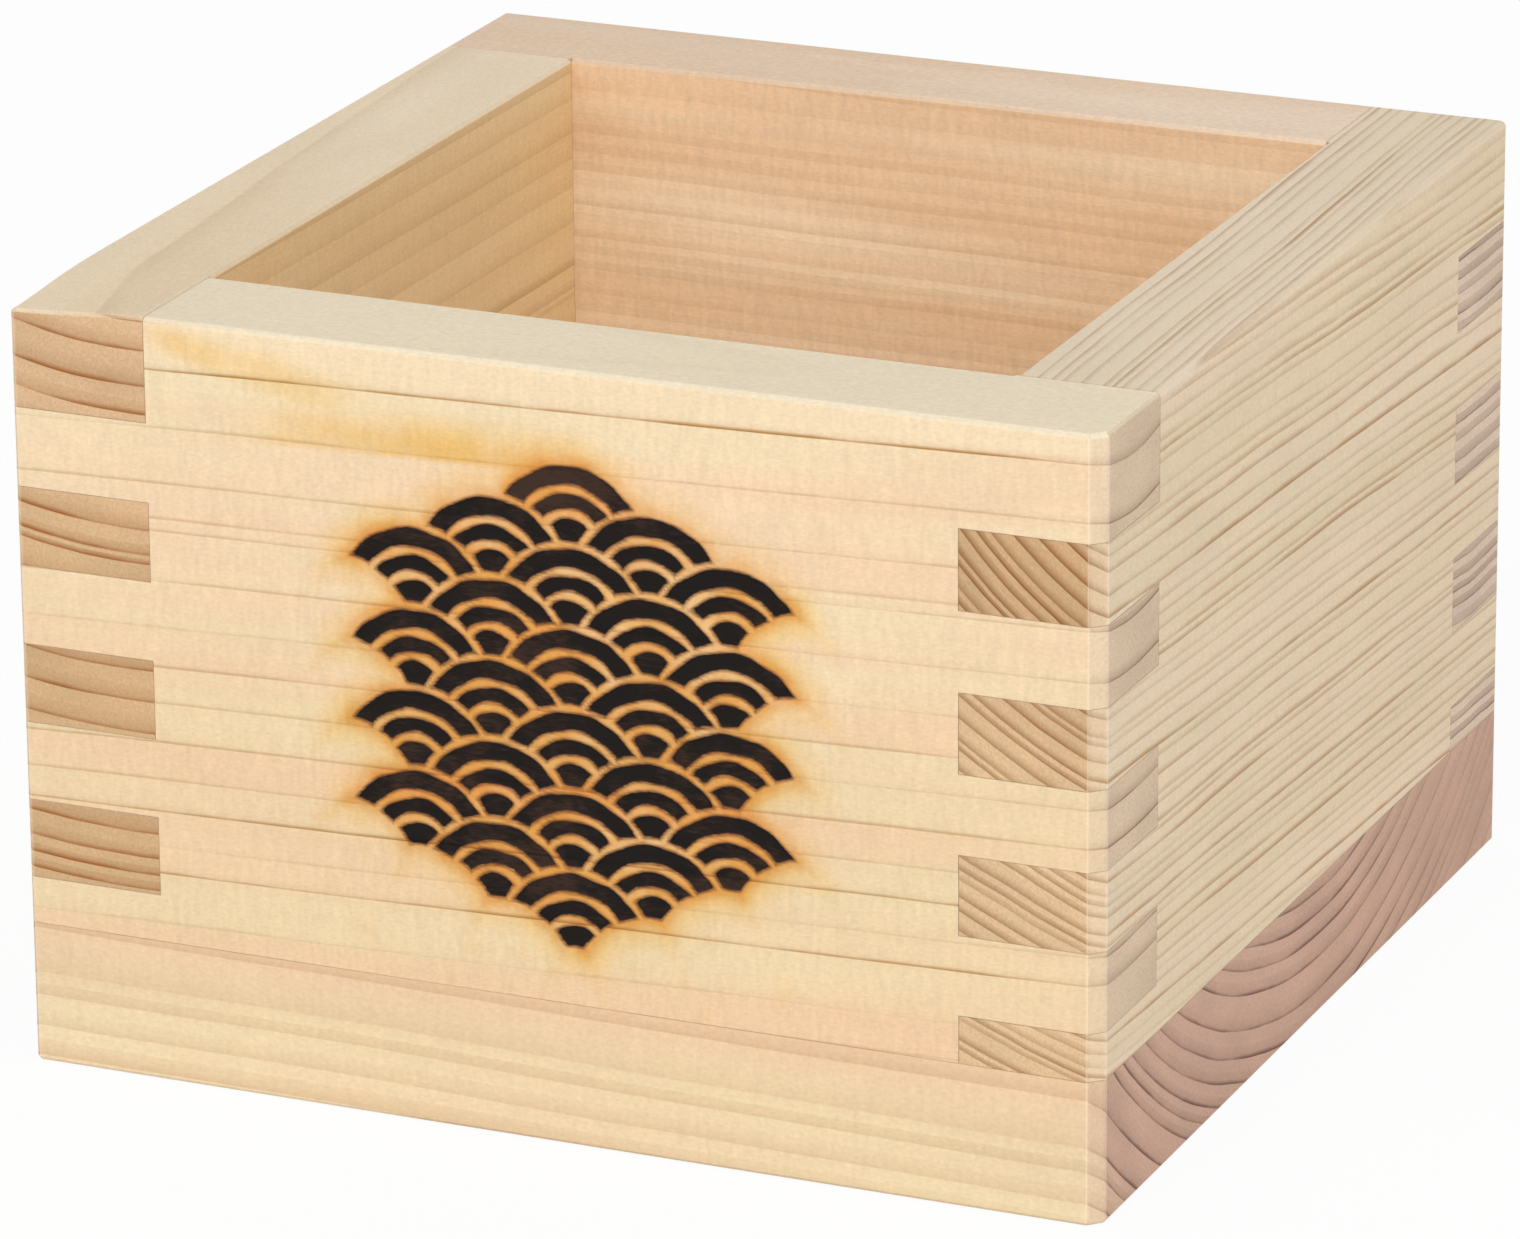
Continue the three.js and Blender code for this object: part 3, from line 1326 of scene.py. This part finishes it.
class BoardFinish:
    """Dresses boards in timber with patterns that all of them share.

    A surface counts as a cut end, the rim or the inside by how squarely it looks that way, from not at all
    to fully. Round a bold ring the line's strength rises and falls at set distances from it.
    """

    end_from = (0.62, 0.8)
    rim_from = (0.45, 0.68)
    inside_from = (0.75, 0.95)
    bold_shape = ((-0.8, False), (-0.45, True), (0.35, True), (0.7, False))
    end_faint = 0.35
    streak_to_rough = (0.2, 0.8, 0.56, 0.68)
    shine = 0.35
    char_shine = 0.12
    streak_height = 0.6
    fleck_height = 0.4
    line_depth = 0.5
    bump_strength = 0.35
    bump_depth = 0.00006

    def __init__(self) -> None:
        """Makes the shared patterns once."""
        self.frame = GrainFrame()
        self.rings = GrowthRings()
        self.fibres = Fibres()
        self.colour = BoardColour()

    @staticmethod
    def curve(wiring: Wiring, radius: Value, points: list[Pair], top: float) -> Signal:
        """A curve over the radius through given points.

        Args:
            wiring: the material's nodes.
            radius: distance from the heart.
            points: radius and height of each point, in order.
            top: height that counts as the curve's full range.

        Returns:
            The curve's height.
        """
        first, last = points[0][0], points[-1][0]
        node = wiring.add("ShaderNodeFloatCurve", {"Value": wiring.spread(radius, first, last, smooth=False)})
        curve = node.mapping.curves[0]
        spots = [((place - first) / (last - first), height / top) for place, height in points]
        curve.points[0].location = spots[0]
        curve.points[-1].location = spots[-1]
        for spot in spots[1:-1]:
            curve.points.new(*spot)
        for point in curve.points:
            point.handle_type = "AUTO_CLAMPED"
        node.mapping.update()
        return Signal(wiring, node.outputs[0]) * top

    @staticmethod
    def bold_points(timber: Timber) -> list[Pair]:
        """The line's strength over the radius: that of the faces, raised round each bold ring.

        Args:
            timber: the board's wood.

        Returns:
            Radius and strength of each point.
        """
        plain = timber.face_strength
        points = [
            (radius + off, strength if bold else plain)
            for radius, strength in timber.bold_rings
            for off, bold in BoardFinish.bold_shape
        ]
        return [(timber.rings[0], plain), *points, (timber.rings[-1], plain)]

    def dress(self, piece: bpy.types.Object, timber: Timber, scorch: Scorch | None = None) -> None:
        """Gives a board its wood.

        Args:
            piece: the board.
            timber: its wood.
            scorch: the burnt mark's colours, on the wall that has one.
        """
        material = bpy.data.materials.new(piece.name)
        material.use_nodes = True
        material.node_tree.nodes.clear()
        wiring = Wiring(material.node_tree)
        coordinates = wiring.outputs("ShaderNodeTexCoord")
        turn = (0.0, 0.0, -timber.turns * QUARTER)
        placing = {
            "Vector": coordinates["Object"],
            "Location": (-timber.start, -timber.heart[0], -timber.heart[1]),
            "Rotation": turn,
            "Scale": (1 / MM, 1 / MM, 1 / MM),
        }
        place = wiring.value("ShaderNodeMapping", placing)
        facing = wiring.value("ShaderNodeMapping", {"Vector": coordinates["Normal"], "Rotation": turn})
        to_end, inward, upward = wiring.parts(facing)
        lying = {"Place": place, "Lean": (0.0, *timber.lean), "Wander": timber.wander}
        grain = self.frame.place(wiring, lying)
        fibres = self.fibres.place(wiring, {**grain, "Shift": timber.seed})
        sides = (
            wiring.spread(wiring.step("ABSOLUTE", to_end), *self.end_from),
            wiring.spread(upward, *self.rim_from),
            wiring.spread(inward, *self.inside_from),
        )
        wood = self.wood(wiring, timber, place, grain, fibres, sides)
        surface, darkness = wood["Colour"], wood["Darkness"]
        shine = self.shine
        if scorch:
            surface, char = scorch.burn(wiring, surface, darkness, coordinates["Object"], inward)
            shine = self.shine + char * (self.char_shine - self.shine)
        height = fibres["Fleck"] * self.fleck_height + fibres["Streak"] * self.streak_height
        height = height - darkness * self.line_depth
        relief = {"Strength": self.bump_strength, "Distance": self.bump_depth, "Height": height}
        shading = {
            "Base Color": surface,
            "Roughness": wiring.spread(fibres["Streak"], *self.streak_to_rough),
            "Specular IOR Level": shine,
            "Normal": wiring.value("ShaderNodeBump", relief),
        }
        wiring.add("ShaderNodeOutputMaterial", {"Surface": wiring.value("ShaderNodeBsdfPrincipled", shading)})
        piece.data.materials.append(material)

    def wood(
        self,
        wiring: Wiring,
        timber: Timber,
        place: Signal,
        grain: dict[str, Signal],
        fibres: dict[str, Signal],
        sides: tuple[Signal, Signal, Signal],
    ) -> dict[str, Signal]:
        """The timber's colour, with its rings as strong as each side of the board wants them.

        Args:
            wiring: the material's nodes.
            timber: the board's wood.
            place: position from the heart in millimetres.
            grain: where the point lay in the tree.
            fibres: the fine structure.
            sides: how much the surface is a cut end, the rim and the inside.

        Returns:
            The colour, and how dark the grain is.
        """
        end_grain, rim, inside = sides
        radius = grain["Radius"]
        counted = [(edge, float(number)) for number, edge in enumerate(timber.rings)]
        count, ahead = (
            self.curve(wiring, at, counted, float(len(timber.rings) - 1))
            for at in (radius, radius + self.rings.step_ahead)
        )
        drawn = {
            "Count": count,
            "Count Ahead": ahead,
            "Along": grain["Along"],
            "Round": grain["Round"],
            "Line Width": timber.line_width,
            "Late Width": timber.late_width,
            "Seed": timber.seed,
        }
        rings = self.rings.place(wiring, drawn)
        bold = self.curve(wiring, radius, self.bold_points(timber), 1.0)
        vary = rings["Line Chance"] * timber.uneven + (1 - timber.uneven / 2)
        fainter = (1.0 + rim * (timber.rim_strength - 1)) * (1.0 + inside * (timber.inside_strength - 1))
        strength = wiring.clamped(bold * vary * fainter)
        end_strength = wiring.clamped((bold + (timber.end_strength - timber.face_strength)) * vary)
        if timber.end_fade:
            _, across, _ = wiring.parts(place)
            end_strength = end_strength * wiring.fall(across, *timber.end_fade, 1.0, self.end_faint)
        outward = wiring.spread(radius, *timber.change)
        wood_tone_and_painted_light = wiring.mix(outward, PLAIN, timber.face_far)
        # Painted light: the up-facing rim gets a tint of its own for how light falls there
        wood_tone_and_painted_light = wiring.mix(rim, wood_tone_and_painted_light, timber.rim_painted_light)
        low, high = timber.zone
        return self.colour.place(
            wiring,
            {
                **fibres,
                "Face": timber.face,
                "Tint": timber.tint,
                "Face Line": timber.face_line,
                # Painted light: the inward-facing inside gets a tint of its own for how light falls there
                "Side Tone": wiring.mix(inside, wood_tone_and_painted_light, timber.inside_painted_light),
                "Zone Tone": timber.zone_tone,
                "End": wiring.mix(outward, timber.near_tone, timber.far_tone) * timber.end,
                "End Line": timber.end_line,
                "Zone": wiring.window(radius, (low - 0.5, low + 0.5), (high - timber.zone_fade, high)),
                "Line": rings["Line"],
                "Late": rings["Late"],
                "Ring Chance": rings["Ring Chance"],
                "Strength": strength,
                "End Strength": end_strength * (1.0 + outward * (timber.far_strength - 1)),
                "End Late": timber.end_late,
                "End Grain": end_grain,
                "Joint": wiring.attribute("joint"),
                # Pale wear and painted highlight along eased edges
                "Edge": wiring.attribute("edge"),
                "Fleck Amount": timber.fleck,
                "Late Amount": timber.late_amount,
                "Soft Lines": (1.0 - rim) * timber.soft_lines,
            },
        )


def even_rings(first: float, last: float, pitch: float, unevenness: float, seed: int) -> tuple[float, ...]:
    """Ring edges at about one pitch apart, each gap longer or shorter by chance.

    Args:
        first: smallest radius.
        last: largest radius.
        pitch: mean width of a ring.
        unevenness: share by which a ring's width may differ.
        seed: picks one run of chances.

    Returns:
        The radii.
    """
    chance = np.random.default_rng(seed)
    number = round((last - first) / pitch)
    widths = 1 + unevenness * chance.uniform(-1, 1, number)
    edges = np.concatenate([[0], np.cumsum(widths)]) / widths.sum()
    return tuple((first + (last - first) * edges).tolist())


FRONT_TIMBER = Timber(
    turns=0,
    start=-22,
    heart=(-36, 78),
    lean=(0.0, 0.026),
    rings=(
        14, 18.6, 20.6, 24.1, 28.3, 32.4, 35.0, 35.9, 39.6, 43.1, 46.1,
        48.9, 51.8, 54.6, 57.0, 59.7, 61.8, 65.7, 68.5, 72,
    ),
    bold_rings=((24.1, 0.85), (39.6, 0.5), (57.0, 0.66), (61.8, 0.66)),
    face=tone(233, 213, 176),
    tint=tone(235, 203, 169),
    face_line=tone(166, 114, 34),
    end=tone(213, 189, 160),
    end_line=tone(134, 96, 70),
    # Painted light on the rim
    rim_painted_light=(0.94, 1.01, 1.1, 1.0),
    zone=(0, 24.1),
    zone_tone=tone(236, 214, 179),
    change=(35, 50),
    face_far=(0.965, 0.94, 0.9, 1.0),
    face_strength=0.38,
    rim_strength=0.15,
    end_strength=1.3,
    line_width=0.22,
    fleck=0.2,
    seed=3,
)
RIGHT_TIMBER = Timber(
    turns=1,
    start=-30,
    heart=(-58, 71),
    lean=(0.0, -0.038),
    rings=even_rings(16, 72, 0.98, 0.45, 5),
    bold_rings=((22.4, 0.5), (30.8, 0.85)),
    face=tone(233, 211, 182),
    tint=tone(227, 207, 174),
    face_line=tone(160, 108, 40),
    end=tone(211, 176, 135),
    end_line=tone(132, 76, 18),
    # Painted light on the rim
    rim_painted_light=(0.93, 0.965, 1.025, 1.0),
    change=(29, 50),
    near_tone=(0.84, 0.8, 0.74, 1.0),
    far_tone=(1.07, 1.12, 1.17, 1.0),
    far_strength=0.66,
    face_strength=0.6,
    rim_strength=0.95,
    end_strength=1.5,
    end_late=0.9,
    line_width=0.34,
    late_width=0.9,
    late_amount=0.42,
    soft_lines=0.12,
    uneven=1.3,
    wander=0.19,
    fleck=0.08,
    seed=17,
)
BACK_TIMBER = Timber(
    turns=2,
    start=-42,
    heart=(-37, 112),
    lean=(0.0, 0.01),
    rings=even_rings(50, 103, 1.5, 0.35, 8),
    bold_rings=((66.5, 0.75),),
    face=tone(242, 212, 180),
    tint=tone(233, 192, 154),
    face_line=tone(168, 116, 44),
    end=tone(220, 196, 172),
    end_line=tone(124, 88, 78),
    # Painted light on the rim and the inside
    rim_painted_light=(0.93, 1.07, 1.25, 1.0),
    inside_painted_light=(1.1, 1.19, 1.24, 1.0),
    face_strength=0.34,
    rim_strength=0.6,
    inside_strength=0.55,
    end_strength=1.05,
    line_width=0.22,
    late_width=3.0,
    late_amount=0.75,
    soft_lines=0.9,
    wander=0.22,
    fleck=0.24,
    seed=29,
)
LEFT_TIMBER = Timber(
    turns=3,
    start=42,
    heart=(-32, 92),
    lean=(0.0, 0.01),
    rings=(
        26, 31, 34, 36.2, 38.9, 41.0, 43.3, 46.2, 49.7, 51.5, 52.2, 54.5, 57.3,
        60.3, 62.7, 65.1, 67.5, 70.2, 72.8, 74.7, 76.0, 77.2, 79.5, 83,
    ),
    bold_rings=((49.7, 0.95),),
    face=tone(239, 216, 184),
    tint=tone(233, 206, 169),
    face_line=tone(166, 116, 40),
    end=tone(207, 170, 130),
    end_line=tone(148, 86, 14),
    # Painted light on the rim and the inside
    rim_painted_light=(0.92, 0.98, 1.05, 1.0),
    inside_painted_light=(1.05, 1.0, 0.83, 1.0),
    face_strength=0.4,
    change=(38, 58),
    near_tone=(1.03, 1.05, 1.08, 1.0),
    far_tone=(0.95, 0.96, 0.92, 1.0),
    rim_strength=0.42,
    inside_strength=0.75,
    end_strength=1.35,
    end_late=0.4,
    line_width=0.38,
    late_width=2.0,
    late_amount=0.7,
    soft_lines=0.75,
    seed=41,
)
BOTTOM_TIMBER = Timber(
    turns=0,
    start=42,
    heart=(2.4, 54),
    lean=(0.0, -0.012),
    rings=(
        38, 40, 42.2, 44.2, 46.0, 47.7, 49.5, 52.1, 54.2, 56.0, 57.7, 58.9,
        60.2, 62.8, 65.3, 66.6, 68.4, 70.2, 73,
    ),
    face=tone(229, 207, 167),
    tint=tone(226, 199, 162),
    face_line=tone(176, 122, 64),
    end=tone(200, 162, 140),
    end_line=tone(98, 54, 34),
    zone=(60.6, 65.0),
    zone_fade=2.6,
    change=(63.5, 68.5),
    far_tone=(1.14, 1.22, 1.16, 1.0),
    face_far=(1.04, 1.08, 1.12, 1.0),
    zone_tone=tone(231, 200, 165),
    face_strength=0.3,
    rim_strength=0.6,
    end_strength=1.5,
    end_late=0.3,
    end_fade=(8, 30),
    line_width=0.3,
    late_width=1.9,
    late_amount=0.8,
    soft_lines=0.8,
    seed=57,
)


@dataclass(frozen=True)
class Lamp:
    """A square soft lamp that looks at the cup: its place and side in metres, its power in watts."""

    name: str
    place: Triple
    power: float
    colour: Triple
    side: float = 1.0

    def build(self) -> None:
        """Hangs the lamp in its place."""
        data = bpy.data.lights.new(self.name, "AREA")
        data.size = self.side
        data.energy = self.power
        data.color = self.colour
        lamp = bpy.data.objects.new(self.name, data)
        aim = Vector(self.place).to_track_quat("Z", "Y").to_matrix().to_4x4()
        lamp.matrix_world = Matrix.Translation(self.place) @ aim
        bpy.context.scene.collection.objects.link(lamp)


@dataclass
class Studio:
    """Pale floor, soft lamps all round and the camera. The camera's angles are in degrees."""

    warm: Triple = (1.0, 0.98, 0.95)
    cool: Triple = (0.98, 0.99, 1.0)
    paper: Colour = (0.9, 0.9, 0.9, 1.0)
    paper_glow: float = 0.93
    floor_half: float = 6.0
    floor_drop: float = 0.0001
    ambience: float = 0.55
    lens: float = 214.64
    camera_place: Triple = (0.254979, -0.588171, 0.248948)
    heading: float = 23.59836
    look_down: float = 19.15525
    roll: float = -0.49355
    nearest: float = 0.05
    farthest: float = 50.0

    def build(self) -> None:
        """Sets the whole stage."""
        self.floor()
        self.world()
        for lamp in (
            Lamp("low_lamp", (-0.5, -1.5, 0.75), 4.9, self.warm),
            Lamp("key_lamp", (0.3, -1.5, 1.3), 11.5, self.warm),
            Lamp("side_lamp", (1.5, -0.55, 0.85), 6.4, self.cool),
            Lamp("top_lamp", (0.0, 0.3, 1.8), 1.9, self.cool, 1.2),
        ):
            lamp.build()
        self.camera()

    def floor(self) -> None:
        """A wide level sheet just under the cup. The camera sees it near white, with the cup's shadow."""
        half, level = self.floor_half, -self.floor_drop
        corners = [(-half, -half, level), (half, -half, level), (half, half, level), (-half, half, level)]
        mesh = bpy.data.meshes.new("floor")
        mesh.from_pydata(corners, [], [(0, 1, 2, 3)])
        sheet = bpy.data.objects.new("floor", mesh)
        bpy.context.scene.collection.objects.link(sheet)
        material = bpy.data.materials.new("floor_paper")
        material.use_nodes = True
        material.node_tree.nodes.clear()
        wiring = Wiring(material.node_tree)
        paper = wiring.value("ShaderNodeBsdfDiffuse", {"Color": self.paper})
        glow = wiring.value("ShaderNodeEmission", {"Color": PLAIN, "Strength": 1.0})
        seen = wiring.seen_directly() * self.paper_glow
        shown = wiring.value("ShaderNodeMixShader", {0: seen, 1: paper, 2: glow})
        wiring.add("ShaderNodeOutputMaterial", {"Surface": shown})
        mesh.materials.append(material)

    def world(self) -> None:
        """Even white light from all round, and white behind the floor's edge."""
        world = bpy.data.worlds.new("studio")
        world.use_nodes = True
        world.node_tree.nodes.clear()
        wiring = Wiring(world.node_tree)
        strength = wiring.spread(wiring.seen_directly(), 0.0, 1.0, self.ambience, 1.0, smooth=False)
        back = wiring.value("ShaderNodeBackground", {"Color": PLAIN, "Strength": strength})
        wiring.add("ShaderNodeOutputWorld", {"Surface": back})
        bpy.context.scene.world = world

    def camera(self) -> None:
        """The camera at the photograph's place: turned to its heading, tipped down and rolled a little."""
        data = bpy.data.cameras.new("camera")
        data.sensor_width = 36
        data.lens = self.lens
        data.clip_start = self.nearest
        data.clip_end = self.farthest
        camera = bpy.data.objects.new("camera", data)
        camera.matrix_world = (
            Matrix.Translation(self.camera_place)
            @ Matrix.Rotation(math.radians(self.heading), 4, "Z")
            @ Matrix.Rotation(QUARTER - math.radians(self.look_down), 4, "X")
            @ Matrix.Rotation(math.radians(self.roll), 4, "Z")
        )
        bpy.context.scene.collection.objects.link(camera)
        bpy.context.scene.camera = camera


def settle(piece: bpy.types.Object, node: str) -> None:
    """Ties a finished board to the frame and reports it.

    Args:
        piece: the board.
        node: the frame's board that it stands for.
    """
    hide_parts(node)
    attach(piece, "root")
    log.info("%s: %d points, %d faces", piece.name, len(piece.data.vertices), len(piece.data.polygons))


def main() -> None:
    """Builds the studio and the five boards."""
    logging.basicConfig(level=logging.INFO, format="%(name)s: %(message)s")
    bpy.context.scene.view_settings.view_transform = "Standard"
    Studio().build()
    joinery = Joinery.measured()
    finish = BoardFinish()
    timbers = {
        Side.FRONT: FRONT_TIMBER,
        Side.RIGHT: RIGHT_TIMBER,
        Side.BACK: BACK_TIMBER,
        Side.LEFT: LEFT_TIMBER,
    }
    for side, timber in timbers.items():
        front = side is Side.FRONT
        wall = Wall(side, joinery, WaveMark() if front else None)
        piece = wall.build()
        finish.dress(piece, timber, Scorch() if front else None)
        settle(piece, wall.node)
    board = BottomBoard(joinery)
    piece = board.build()
    finish.dress(piece, BOTTOM_TIMBER)
    settle(piece, board.node)


if __name__ == "__main__":
    main()
